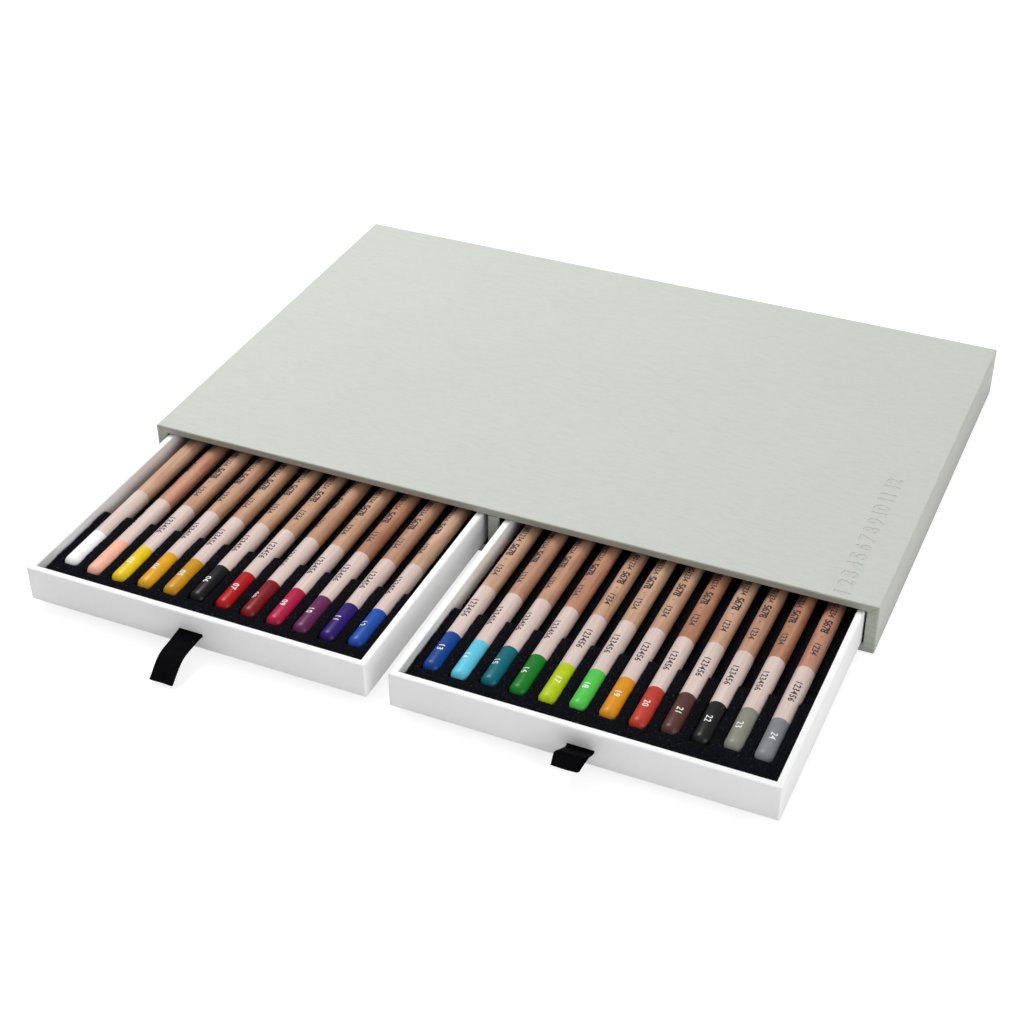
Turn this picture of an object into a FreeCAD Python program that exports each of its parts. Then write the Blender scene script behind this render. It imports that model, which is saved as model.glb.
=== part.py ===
import FreeCAD, Part
import math
import os
import re
import Sketcher

# A flat sleeve of wrapped board with two shallow drawers side by side, each with a dozen round pastel pencils
# in foam. Millimetres. The origin is the centre of the sleeve's underside: +X to the right as seen from the
# front, +Y to the back, +Z up. The drawers slide out towards -Y and are drawn pulled out by about half.
# The box is built round its pencils: they set the foam, the foam the drawers, and the drawers the sleeve.

SIZES = {
    # a pencil: rounded and dipped at the front end, sharpened at the rear end, with a pastel core
    "pencil_count": 12,
    "pencil_long": 176.0,
    "pencil_radius": 3.9,
    "end_round": 2.4,
    "dip_cap": 0.8,
    "sharpened_long": 19.0,
    "core_radius": 2.3,
    "core_gap": 0.05,
    "point_radius": 0.4,
    # how the pencils lie in the foam
    "pencil_gap": 0.2,
    "pencil_sink": 1.6,
    "end_gap": 0.3,
    "slot_slack": 6.0,
    "slot_rib": 4.1,
    # the foam, its margins round the slots and how much of each slot a rack holds
    "foam_gap": 0.2,
    "foam_base_thick": 5.0,
    "rack_thick": 4.7,
    "left_margin": 3.7,
    "right_margin": 5.4,
    "front_margin": 8.0,
    "rear_margin": 19.0,
    "front_hold": 41.5,
    "rear_hold": 26.0,
    # the paper, how far it is folded in or under, and its rounded creases
    "paper": 0.3,
    "crease_radius": 0.5,
    "mouth_fold": 15.0,
    "sleeve_under_fold": 15.0,
    "drawer_under_fold": 10.0,
    # the walls with the paper on both faces, a drawer's bare floor, and its rim over the pencils
    "drawer_wall": 3.2,
    "drawer_floor": 2.4,
    "rim_over_pencils": 2.3,
    "side_wall": 5.0,
    "divider_wall": 5.0,
    "top_wall": 3.4,
    "bottom_wall": 3.4,
    "back_wall": 3.4,
    # the drawers' play in their bays, and how far they are pulled out
    "under_gap": 0.3,
    "head_gap": 0.7,
    "back_gap": 0.6,
    "outer_gap": 0.9,
    "inner_gap": 2.6,
    "left_pulled_out": 109.6,
    "right_pulled_out": 110.0,
    # the pull ribbons, which pass through the front board and are glued behind it
    "ribbon_wide": 10.8,
    "ribbon_thick": 0.5,
    "layer_gap": 0.4,
    "ribbon_play": 0.3,
    "ribbon_drop": 1.2,
    "left_ribbon_aside": -0.45,
    "right_ribbon_aside": 1.2,
    "tail_long": 2.8,
    "tail_bend": 0.35,
    "tail_gap": 0.1,
    "recess_deep": 1.3,
    "exit_radius": 4.0,
    # the left ribbon, pressed flat and hanging down
    "tab_slope": 8.0,
    "tab_run": 10.8,
    "tab_bend": 36.0,
    "tab_bend_radius": 12.0,
    "tab_hang": 6.0,
    # the right ribbon, standing open as a loop
    "loop_drop": 4.0,
    "neck_spread": 40.0,
    "neck_radius": 5.0,
    "neck_run": 1.5,
    # how far a cutting block runs past the face it cuts
    "overrun": 1.0,
}

# What follows from those sizes
SUMS = {
    "barrel_long": "pencil_long - sharpened_long",
    "bore_radius": "core_radius + core_gap",
    "bored_share": "(pencil_radius - bore_radius) / (pencil_radius - point_radius)",
    "cone_end": "barrel_long + sharpened_long * bored_share",
    "slot_radius": "pencil_radius + pencil_gap",
    "pencil_pitch": "2 * slot_radius + slot_rib",
    "slot_start": "drawer_wall + front_margin",
    "slot_end": "slot_start + pencil_long + slot_slack + 2 * end_gap",
    "floor_top": "paper + drawer_floor",
    "base_top": "floor_top + foam_base_thick",
    "rack_top": "base_top + rack_thick",
    "pencil_height": "base_top + pencil_radius - pencil_sink",
    "slots_wide": "2 * slot_radius + (pencil_count - 1) * pencil_pitch",
    "drawer_wide": "2 * drawer_wall + left_margin + slots_wide + right_margin",
    "drawer_deep": "slot_end + rear_margin + drawer_wall",
    "drawer_tall": "pencil_height + pencil_radius + rim_over_pencils",
    "drawer_face": "drawer_wall - paper",
    "bay_wide": "outer_gap + drawer_wide + inner_gap",
    "bay_floor": "bottom_wall",
    "bay_top": "bottom_wall + under_gap + drawer_tall + head_gap",
    "half_divider": "divider_wall / 2",
    "half_inside": "half_divider + bay_wide",
    "half_wide": "half_inside + side_wall",
    "half_deep": "(drawer_deep + back_gap + back_wall) / 2",
    "sleeve_tall": "bay_top + top_wall",
    "bay_back": "half_deep - back_wall",
    "fold_end": "mouth_fold - half_deep",
    "layers_apart": "ribbon_thick + layer_gap",
    "half_ribbon": "ribbon_wide / 2",
    "half_slot": "(layers_apart + ribbon_thick) / 2 + ribbon_play",
    "ribbon_height": "drawer_tall / 2 - ribbon_drop",
}

# How far back each pencil and the front of its slot lie, as a share of the slack, from left to right
push_back_shares = {
    "left": (0.4, 0.12, 0.13, 0.22, 0.28, 0.38, 0.42, 0.28, 0.22, 0.18, 0.2, 0.4),
    "right": (0.27, 0.22, 0.43, 0.38, 0.33, 0.55, 0.58, 0.47, 0.72, 0.67, 0.92, 0.75),
}

doc = FreeCAD.newDocument("pastel_drawer_box")
sheet = doc.addObject("Spreadsheet::Sheet", "sizes")
nodes = []


def fill_sheet():
    """Puts every driving size in the sheet, under its own alias."""
    for row, (alias, value) in enumerate(SIZES.items(), 1):
        sheet.set(f"A{row}", alias)
        sheet.set(f"B{row}", str(value))
        sheet.setAlias(f"B{row}", alias)
    doc.recompute()


def size(alias):
    """The value that the sheet holds for a driving size."""
    return float(getattr(sheet, alias))


def in_sheet(text):
    """A sum of sizes with its derived sizes written out and its driving sizes pointing at the sheet."""
    def swap(word):
        name = word[0]
        if name in SUMS:
            return f"({in_sheet(SUMS[name])})"
        return f"sizes.{name}" if name in SIZES else name
    return re.sub("[a-z_]+", swap, text)


def bind(thing, prop, text):
    thing.setExpression(prop, in_sheet(text))


def place(thing, spot):
    """Binds a thing's place to three sums of sizes."""
    for axis, text in zip("xyz", spot):
        bind(thing, f"Placement.Base.{axis}", text)


def keep(thing, label):
    """Marks a thing as one of the object's pieces, under the name of its file."""
    thing.Label = label
    nodes.append(thing)
    return thing


def shifted(spot, at):
    return tuple(f"({here}) + ({base})" for here, base in zip(spot, at))


def box(name, low, high, at=("0", "0", "0")):
    """A block between two corners, measured from the spot called at."""
    block = doc.addObject("Part::Box", name)
    for side, start, end in zip(("Length", "Width", "Height"), low, high):
        bind(block, side, f"({end}) - ({start})")
    place(block, shifted(low, at))
    return block


def cut(name, base, tool):
    result = doc.addObject("Part::Cut", name)
    result.Base = base
    result.Tool = tool
    return result


def joined(name, shapes):
    result = doc.addObject("Part::MultiFuse", name)
    result.Shapes = shapes
    return result


def creased(name, base, wanted):
    """A shape with the edges that wanted picks rounded, as folded paper is."""
    result = doc.addObject("Part::Fillet", name)
    result.Base = base
    doc.recompute()
    radius = size("crease_radius")
    result.Edges = [(number, radius, radius)
                    for number, edge in enumerate(base.Shape.Edges, 1) if wanted(edge)]
    return result


def sleeve():
    """The fixed box: six boards, the wrap, the sheet it stands on and the lining of each bay."""
    board_x, board_y, board_top = "half_wide - paper", "half_deep - paper", "sleeve_tall - paper"
    face_x, face_floor, face_top = "half_inside + paper", "bay_floor - paper", "bay_top + paper"
    face_back, face_divider = "bay_back + paper", "half_divider - paper"
    fold_x, fold_y = "half_wide - sleeve_under_fold", "half_deep - sleeve_under_fold"

    boards = {
        "top": ((f"-({board_x})", f"-({board_y})", face_top), (board_x, board_y, board_top)),
        "bottom": ((f"-({board_x})", f"-({board_y})", "paper"), (board_x, board_y, face_floor)),
        "left": ((f"-({board_x})", f"-({board_y})", face_floor), (f"-({face_x})", board_y, face_top)),
        "right": ((face_x, f"-({board_y})", face_floor), (board_x, board_y, face_top)),
        "back": ((f"-({face_x})", face_back, face_floor), (face_x, board_y, face_top)),
        "divider": ((f"-({face_divider})", f"-({board_y})", face_floor), (face_divider, face_back, face_top)),
    }
    for name, corners in boards.items():
        keep(box(f"sleeve_{name}_board", *corners), f"sleeve_{name}_board")

    name = "sleeve_cover_paper"
    outside = creased(f"{name}_creased",
                      box(f"{name}_outside", ("-half_wide", "-half_deep", "0"),
                          ("half_wide", "half_deep", "sleeve_tall")), lambda edge: True)
    shell = cut(f"{name}_shell", outside,
                box(f"{name}_inside", (f"-({board_x})", f"-({board_y})", "paper"),
                    (board_x, board_y, board_top)))
    ring = cut(f"{name}_ring",
               box(f"{name}_ring_outside", (f"-({face_x})", f"-({board_y})", face_floor),
                   (face_x, "fold_end", face_top)),
               box(f"{name}_ring_inside", ("-half_inside", f"-({board_y})", "bay_floor"),
                   ("half_inside", "fold_end", "bay_top")))
    gone = [
        box(f"{name}_mouth", ("-half_inside", "-half_deep - overrun", "bay_floor"),
            ("half_inside", f"-({board_y})", "bay_top")),
        box(f"{name}_underside", (f"-({fold_x})", f"-({fold_y})", "-overrun"), (fold_x, fold_y, "paper")),
        box(f"{name}_divider", (f"-({face_divider})", f"-({board_y})", face_floor),
            (face_divider, "fold_end", face_top)),
    ]
    keep(cut(name, joined(f"{name}_folded", [shell, ring]), joined(f"{name}_gone", gone)), name)
    keep(box("sleeve_base_sheet", (f"-({fold_x})", f"-({fold_y})", "0"), (fold_x, fold_y, "paper")),
         "sleeve_base_sheet")

    strip = box("divider_strip", ("-half_divider", "-half_deep", "bay_floor"),
                ("half_divider", "fold_end", "bay_top"))
    board = box("divider_strip_inside", (f"-({face_divider})", f"-({board_y})", "bay_floor"),
                (face_divider, "fold_end", "bay_top"))
    keep(cut("divider_cover_paper", strip, board), "divider_cover_paper")

    bays = {
        "left": ((f"-({face_x})", "-half_inside"), (f"-({face_divider})", "-half_divider")),
        "right": ((face_divider, "half_divider"), (face_x, "half_inside")),
    }
    for side, ((face_low, low), (face_high, high)) in bays.items():
        name = f"{side}_bay_liner"
        outside = box(f"{name}_outside", (face_low, "fold_end", face_floor),
                      (face_high, face_back, face_top))
        inside = box(f"{name}_inside", (low, "fold_end - overrun", "bay_floor"),
                     (high, "bay_back", "bay_top"))
        keep(cut(name, outside, inside), name)


def ribbon_sides(side, play):
    """How far a ribbon's two edges lie from the drawer's left side, each moved out by the play round it."""
    middle = f"drawer_wide / 2 + {side}_ribbon_aside"
    return f"{middle} - half_ribbon - {play}", f"{middle} + half_ribbon + {play}"


def ribbon_slot(side, far_y):
    """The corners of the slot through a drawer's front, from before its face up to the depth called far_y."""
    left, right = ribbon_sides(side, "ribbon_play")
    return (left, "-overrun", "ribbon_height - half_slot"), (right, far_y, "ribbon_height + half_slot")


def tray(side, at):
    """A drawer's five boards, its white wrap and the sheet under it, from its front left lower corner."""
    name = f"{side}_drawer"
    end_x, end_y, end_z = "drawer_wide - paper", "drawer_deep - paper", "drawer_tall - paper"
    far_face_x, far_face_y = "drawer_wide - drawer_face", "drawer_deep - drawer_face"
    far_x, far_y = "drawer_wide - drawer_wall", "drawer_deep - drawer_wall"
    boards = {
        "floor": (("drawer_face", "drawer_face", "paper"), (far_face_x, far_face_y, "floor_top")),
        "back": (("paper", far_face_y, "paper"), (end_x, end_y, end_z)),
        "left": (("paper", "drawer_face", "paper"), ("drawer_face", far_face_y, end_z)),
        "right": ((far_face_x, "drawer_face", "paper"), (end_x, far_face_y, end_z)),
    }
    for board, corners in boards.items():
        keep(box(f"{name}_{board}_board", *corners, at=at), f"{name}_{board}_board")
    front = cut(f"{name}_front_board",
                box(f"{name}_front_blank", ("paper", "paper", "paper"), (end_x, "drawer_face", end_z)),
                box(f"{name}_front_slot", *ribbon_slot(side, "drawer_face")))
    place(front, at)
    keep(front, f"{name}_front_board")

    cover = f"{name}_cover_paper"
    outside = creased(f"{cover}_creased",
                      box(f"{cover}_outside", ("0", "0", "0"), ("drawer_wide", "drawer_deep", "drawer_tall")),
                      lambda edge: True)
    shell = cut(f"{cover}_shell", outside,
                box(f"{cover}_inside", ("paper", "paper", "paper"), (end_x, end_y, end_z)))
    lining = cut(f"{cover}_lining",
                 box(f"{cover}_lining_outside", ("drawer_face", "drawer_face", "floor_top"),
                     (far_face_x, far_face_y, end_z)),
                 box(f"{cover}_lining_inside", ("drawer_wall", "drawer_wall", "floor_top"),
                     (far_x, far_y, end_z)))
    under_low = ("drawer_under_fold", "drawer_under_fold")
    under_high = ("drawer_wide - drawer_under_fold", "drawer_deep - drawer_under_fold")
    gone = [
        box(f"{cover}_open_top", ("drawer_wall", "drawer_wall", end_z),
            (far_x, far_y, "drawer_tall + overrun")),
        box(f"{cover}_underside", (*under_low, "-overrun"), (*under_high, "paper")),
        box(f"{cover}_slot", *ribbon_slot(side, "drawer_wall")),
    ]
    sharp = cut(f"{cover}_sharp", joined(f"{cover}_folded", [shell, lining]), joined(f"{cover}_gone", gone))
    doc.recompute()
    bounds = sharp.Shape.BoundBox
    rim_band = size("drawer_wall") / 2

    def inner_rim(edge):
        """True for the rim's inner edges, which lie past the middle of the wall."""
        spot = edge.BoundBox.Center
        past_x = min(spot.x - bounds.XMin, bounds.XMax - spot.x) > rim_band
        past_y = min(spot.y - bounds.YMin, bounds.YMax - spot.y) > rim_band
        return past_x and past_y and edge.BoundBox.ZMin > bounds.ZMax - size("crease_radius") / 2

    wrap = creased(cover, sharp, inner_rim)
    place(wrap, at)
    keep(wrap, cover)
    keep(box(f"{name}_base_sheet", (*under_low, "0"), (*under_high, "paper"), at=at), f"{name}_base_sheet")


def pencil_x(number):
    """How far a pencil's middle lies from the drawer's left side, counted from nought."""
    return f"drawer_wall + left_margin + slot_radius + {number} * pencil_pitch"


def slot_front(side, number):
    """Where a pencil's slot starts, behind the drawer's front: the foam is cut close round its dipped end."""
    shares = push_back_shares[side]
    return f"slot_start + {shares[number % len(shares)]} * slot_slack"


def lying(name, kind, radii, length, at):
    """A cylinder or cone whose axis runs to the back from the spot called at."""
    result = doc.addObject(kind, name)
    result.Placement.Rotation = FreeCAD.Rotation(FreeCAD.Vector(1, 0, 0), -90)
    for prop, text in radii.items():
        bind(result, prop, text)
    bind(result, "Height", length)
    place(result, at)
    return result


def foam(side, at):
    """The foam base with a groove under each pencil, and the slotted racks on it, front and rear."""
    low_x, high_x = "drawer_wall + foam_gap", "drawer_wide - drawer_wall - foam_gap"
    low_y, high_y = "drawer_wall + foam_gap", "drawer_deep - drawer_wall - foam_gap"
    recess_left, recess_right = ribbon_sides(side, "ribbon_play")
    recess = ((recess_left, "0", "0"), (recess_right, "drawer_wall + recess_deep", "drawer_tall"))
    count = int(size("pencil_count"))

    name = f"{side}_foam_base"
    cuts = [lying(f"{name}_groove_{number + 1}", "Part::Cylinder", {"Radius": "slot_radius"},
                  f"slot_end - ({slot_front(side, number)})",
                  (pencil_x(number), slot_front(side, number), "pencil_height"))
            for number in range(count)]
    cuts.append(box(f"{name}_recess", *recess))
    base = cut(name, box(f"{name}_blank", (low_x, low_y, "floor_top"), (high_x, high_y, "base_top")),
               joined(f"{name}_cuts", cuts))
    place(base, at)
    keep(base, name)

    front_end, rear_start = "slot_start + front_hold", "slot_end - rear_hold"
    racks = {
        "front": (low_y, front_end, f"{front_end} + overrun"),
        "rear": (rear_start, high_y, "slot_end"),
    }
    for end, (start, stop, slot_high) in racks.items():
        name = f"{side}_foam_{end}_rack"
        cuts = []
        for number in range(count):
            slot_low = slot_front(side, number) if end == "front" else f"{rear_start} - overrun"
            cuts.append(box(f"{name}_slot_{number + 1}",
                            (f"{pencil_x(number)} - slot_radius", slot_low, "base_top - overrun"),
                            (f"{pencil_x(number)} + slot_radius", slot_high, "rack_top + overrun")))
        if end == "front":
            cuts.append(box(f"{name}_recess", *recess))
        rack = cut(name, box(f"{name}_blank", (low_x, start, "base_top"), (high_x, stop, "rack_top")),
                   joined(f"{name}_cuts", cuts))
        place(rack, at)
        keep(rack, name)


def casing(name, at):
    """A round cedar casing: rounded at the front end, bored for its core and cut to a cone at the rear."""
    body = doc.addObject("PartDesign::Body", name)
    sketch = body.newObject("Sketcher::SketchObject", f"{name}_profile")
    plane = next(feature for feature in body.Origin.OriginFeatures if feature.Role == "XY_Plane")
    sketch.AttachmentSupport = [(plane, "")]
    sketch.MapMode = "FlatFace"

    radius, end_round, cap = size("pencil_radius"), size("end_round"), size("dip_cap")
    bore = size("core_radius") + size("core_gap")
    barrel = size("pencil_long") - size("sharpened_long")
    cone_end = barrel + size("sharpened_long") * (radius - bore) / (radius - size("point_radius"))
    start, inner, outer = (0, 0), (radius - end_round, 0), (radius, end_round)
    shoulder, mouth, bottom, axis_end = (radius, barrel), (bore, cone_end), (bore, cap), (0, cap)

    def line(first, last):
        return Part.LineSegment(FreeCAD.Vector(*first, 0), FreeCAD.Vector(*last, 0))

    circle = Part.Circle(FreeCAD.Vector(inner[0], end_round, 0), FreeCAD.Vector(0, 0, 1), end_round)
    sketch.addGeometry([
        line(start, inner), Part.ArcOfCircle(circle, -math.pi / 2, 0), line(outer, shoulder),
        line(shoulder, mouth), line(mouth, bottom), line(bottom, axis_end), line(axis_end, start),
    ], False)
    end, rounded, barrel_side, cone_side, bore_side, bore_end, axis_side = range(7)
    sketch.addConstraint([
        Sketcher.Constraint("Coincident", end, 1, -1, 1),
        Sketcher.Constraint("Tangent", end, 2, rounded, 1),
        Sketcher.Constraint("Tangent", rounded, 2, barrel_side, 1),
        Sketcher.Constraint("Coincident", barrel_side, 2, cone_side, 1),
        Sketcher.Constraint("Coincident", cone_side, 2, bore_side, 1),
        Sketcher.Constraint("Coincident", bore_side, 2, bore_end, 1),
        Sketcher.Constraint("Coincident", bore_end, 2, axis_side, 1),
        Sketcher.Constraint("Coincident", axis_side, 2, end, 1),
        Sketcher.Constraint("Horizontal", end),
        Sketcher.Constraint("Vertical", barrel_side),
        Sketcher.Constraint("Vertical", bore_side),
        Sketcher.Constraint("Horizontal", bore_end),
        Sketcher.Constraint("Vertical", axis_side),
    ])
    driven = (
        ("end_round", Sketcher.Constraint("Radius", rounded, end_round), "end_round"),
        ("barrel_radius", Sketcher.Constraint("DistanceX", -1, 1, barrel_side, 2, radius), "pencil_radius"),
        ("barrel_long", Sketcher.Constraint("DistanceY", -1, 1, barrel_side, 2, barrel), "barrel_long"),
        ("bore_radius", Sketcher.Constraint("DistanceX", -1, 1, bore_side, 1, bore), "bore_radius"),
        ("cone_end", Sketcher.Constraint("DistanceY", -1, 1, bore_side, 1, cone_end), "cone_end"),
        ("cap", Sketcher.Constraint("DistanceY", -1, 1, bore_end, 2, cap), "dip_cap"),
    )
    for label, constraint, text in driven:
        number = sketch.addConstraint(constraint)
        sketch.renameConstraint(number, label)
        bind(sketch, f"Constraints.{label}", text)

    turned = body.newObject("PartDesign::Revolution", f"{name}_turned")
    turned.Profile = sketch
    turned.ReferenceAxis = (sketch, ["V_Axis"])
    turned.Angle = 360
    body.Tip = turned
    place(body, at)
    return body


def core(name, at):
    """A round pastel core, from behind the dipped end to its sharpened point."""
    x, y, z = at
    rod = lying(f"{name}_rod", "Part::Cylinder", {"Radius": "core_radius"}, "cone_end - dip_cap",
                (x, f"({y}) + dip_cap", z))
    point = lying(f"{name}_point", "Part::Cone", {"Radius1": "core_radius", "Radius2": "point_radius"},
                  "pencil_long - cone_end", (x, f"({y}) + cone_end", z))
    return joined(name, [rod, point])


def pencils(side, at):
    """The drawer's pencils, each in its own slot, and their cores as one group of separate solids."""
    cores = []
    for number in range(int(size("pencil_count"))):
        front_end = f"{slot_front(side, number)} + end_gap"
        spot = shifted((pencil_x(number), front_end, "pencil_height"), at)
        name = f"{side}_pencil_{number + 1:02d}"
        keep(casing(name, spot), name)
        cores.append(core(f"{name}_core", spot))
    group = doc.addObject("Part::Compound", f"{side}_pencil_cores")
    group.Links = cores
    keep(group, f"{side}_pencil_cores")


def strip_face(start, heading, moves, half_thick):
    """The face of a strip seen from its side: it follows straight moves and arcs through the YZ plane."""
    def spot(point):
        return FreeCAD.Vector(0, point[0], point[1])

    def beside(point, angle, shift):
        return (point[0] - shift * math.sin(angle), point[1] + shift * math.cos(angle))

    sides = {half_thick: [], -half_thick: []}
    point, angle = start, math.radians(heading)
    for kind, amount, turn in moves:
        if kind == "line":
            new_point = (point[0] + amount * math.cos(angle), point[1] + amount * math.sin(angle))
            for shift, edges in sides.items():
                edges.append(Part.LineSegment(spot(beside(point, angle, shift)),
                                              spot(beside(new_point, angle, shift))).toShape())
            point = new_point
            continue
        bend = math.copysign(amount, turn)
        centre = beside(point, angle, bend)
        middle_angle, new_angle = angle + math.radians(turn) / 2, angle + math.radians(turn)
        for shift, edges in sides.items():
            arc = [spot(beside(centre, there, shift - bend)) for there in (angle, middle_angle, new_angle)]
            edges.append(Part.Arc(*arc).toShape())
        point, angle = beside(centre, new_angle, -bend), new_angle
    left, right = sides.values()
    caps = [Part.LineSegment(left[0].Vertexes[0].Point, right[0].Vertexes[0].Point).toShape(),
            Part.LineSegment(left[-1].Vertexes[-1].Point, right[-1].Vertexes[-1].Point).toShape()]
    return Part.Face(Part.Wire(Part.sortEdges(left + right + caps)[0]))


def outer_moves(side):
    """The ribbon's way outside the drawer's front and back again, as straight moves and arcs."""
    apart, exit_radius = size("ribbon_thick") + size("layer_gap"), size("exit_radius")
    if side == "left":
        slope, bend, radius = size("tab_slope"), size("tab_bend"), size("tab_bend_radius")
        return [("arc", exit_radius, slope), ("line", size("tab_run"), 0), ("arc", radius, bend),
                ("line", size("tab_hang"), 0), ("arc", apart / 2, 180), ("line", size("tab_hang"), 0),
                ("arc", radius - apart, -bend), ("line", size("tab_run"), 0),
                ("arc", exit_radius - apart, -slope)]
    drop, spread, radius, run = size("loop_drop"), size("neck_spread"), size("neck_radius"), size("neck_run")
    spread_angle = math.radians(spread)
    # the nose is as wide as the necks on both sides of the loop's middle line need
    reach = apart / 2 + radius * (1 - math.cos(spread_angle)) + run * math.sin(spread_angle)
    nose = reach / math.cos(spread_angle)
    return [("arc", exit_radius, drop), ("arc", radius, -spread), ("line", run, 0),
            ("arc", nose, 180 + 2 * spread), ("line", run, 0), ("arc", radius, -spread),
            ("arc", exit_radius - apart, -drop)]


def ribbon(side, at):
    """A drawer's pull: one ribbon, out through the slot and back, its ends glued behind the front board."""
    half_thick = size("ribbon_thick") / 2
    apart = size("ribbon_thick") + size("layer_gap")
    tail, tail_radius = size("tail_long"), size("tail_bend") + half_thick
    tail_y = size("drawer_wall") + size("tail_gap") + half_thick
    through = tail_y - tail_radius
    start = (tail_y, apart / 2 + tail_radius + tail)
    moves = [("line", tail, 0), ("arc", tail_radius, -90), ("line", through, 0), *outer_moves(side),
             ("line", through, 0), ("arc", tail_radius, -90), ("line", tail, 0)]
    result = doc.addObject("Part::Feature", f"{side}_pull_ribbon")
    face = strip_face(start, -90, moves, half_thick)
    result.Shape = face.extrude(FreeCAD.Vector(size("ribbon_wide"), 0, 0))
    place(result, shifted((ribbon_sides(side, "0")[0], "0", "ribbon_height"), at))
    keep(result, f"{side}_pull_ribbon")


def drawer(side, left_x, pulled_out):
    """One whole drawer, from the place of its front left lower corner."""
    at = (left_x, f"-half_deep - {pulled_out}", "bay_floor + under_gap")
    tray(side, at)
    foam(side, at)
    ribbon(side, at)
    pencils(side, at)


def check_and_write():
    """Stops if anything failed, then writes each piece to its own file."""
    doc.recompute()
    for thing in doc.Objects:
        if "Invalid" in thing.State or "Error" in thing.State:
            raise RuntimeError(f"{thing.Name} failed: {thing.State}")
    for thing in nodes:
        if thing.Shape.isNull() or not thing.Shape.isValid() or not thing.Shape.Solids:
            raise RuntimeError(f"{thing.Label} has no valid shape")
    os.makedirs("parts", exist_ok=True)
    for thing in nodes:
        print(f"{thing.Label}: {len(thing.Shape.Solids)} solids, {thing.Shape.Volume:.1f} mm3")
        thing.Shape.exportStep(f"parts/{thing.Label}.step")


fill_sheet()
sleeve()
drawer("left", "outer_gap - half_inside", "left_pulled_out")
drawer("right", "half_divider + inner_gap", "right_pulled_out")
check_and_write()
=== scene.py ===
import math
import random

import bmesh
import bpy
from mathutils import Matrix, Vector, noise


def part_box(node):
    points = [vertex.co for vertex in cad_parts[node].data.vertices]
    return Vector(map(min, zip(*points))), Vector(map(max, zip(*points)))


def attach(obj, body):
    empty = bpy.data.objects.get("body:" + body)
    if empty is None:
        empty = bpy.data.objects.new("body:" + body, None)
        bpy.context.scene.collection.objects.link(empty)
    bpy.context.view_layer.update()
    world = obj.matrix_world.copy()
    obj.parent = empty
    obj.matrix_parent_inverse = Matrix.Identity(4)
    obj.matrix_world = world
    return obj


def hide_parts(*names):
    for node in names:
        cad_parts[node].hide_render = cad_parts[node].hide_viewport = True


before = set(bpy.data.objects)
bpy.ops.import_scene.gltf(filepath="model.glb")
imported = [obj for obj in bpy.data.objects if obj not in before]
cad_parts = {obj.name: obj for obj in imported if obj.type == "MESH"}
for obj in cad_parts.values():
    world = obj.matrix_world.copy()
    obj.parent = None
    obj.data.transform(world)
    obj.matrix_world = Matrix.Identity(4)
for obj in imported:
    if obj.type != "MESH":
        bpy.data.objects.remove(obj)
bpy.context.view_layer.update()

# A flat sleeve wrapped in grey-green paper, with two white drawers that hold twelve pastel pencils each.
# Metres, in the frame of the model: the drawers pull out towards -Y, and the sleeve stands on Z = 0.

MM = 0.001
SIDES = ("left", "right")
PENCILS = 12

# The camera of the photograph
CAMERA_SPOT = (275.5 * MM, -704.1 * MM, 493.0 * MM)
CAMERA_AZIMUTH = 24.149
CAMERA_DOWN = 35.674
CAMERA_ROLL = -0.4315
CAMERA_LENS = 65.87
CAMERA_SENSOR = 36
CAMERA_REACH = (0.01, 50)

# The pull ribbons, and how far their slots lie under the middle of the drawer's front
RIBBON_WIDE = 10.8 * MM
RIBBON_THICK = 0.42 * MM
RIBBON_DROP = 1.2 * MM

# Paper: its thickness, the seam left round a pasted sheet, how finely its folds are rounded, and the radius of
# a corner that isn't rounded
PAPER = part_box("sleeve_base_sheet")[1].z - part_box("sleeve_base_sheet")[0].z
SEAM = 0.15 * MM
FOLD_STEPS = 6
SHARP = 0.02 * MM

# How far a cutter runs past what it cuts
CUT_PAST = 1.0 * MM

rng = random.Random(24)


def srgb(red, green, blue):
    """A linear colour from the numbers of a picture, which run from 0 to 255."""
    def linear(value):
        share = value / 255
        return share / 12.92 if share <= 0.04045 else ((share + 0.055) / 1.055) ** 2.4
    return (linear(red), linear(green), linear(blue), 1.0)


# Materials

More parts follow.
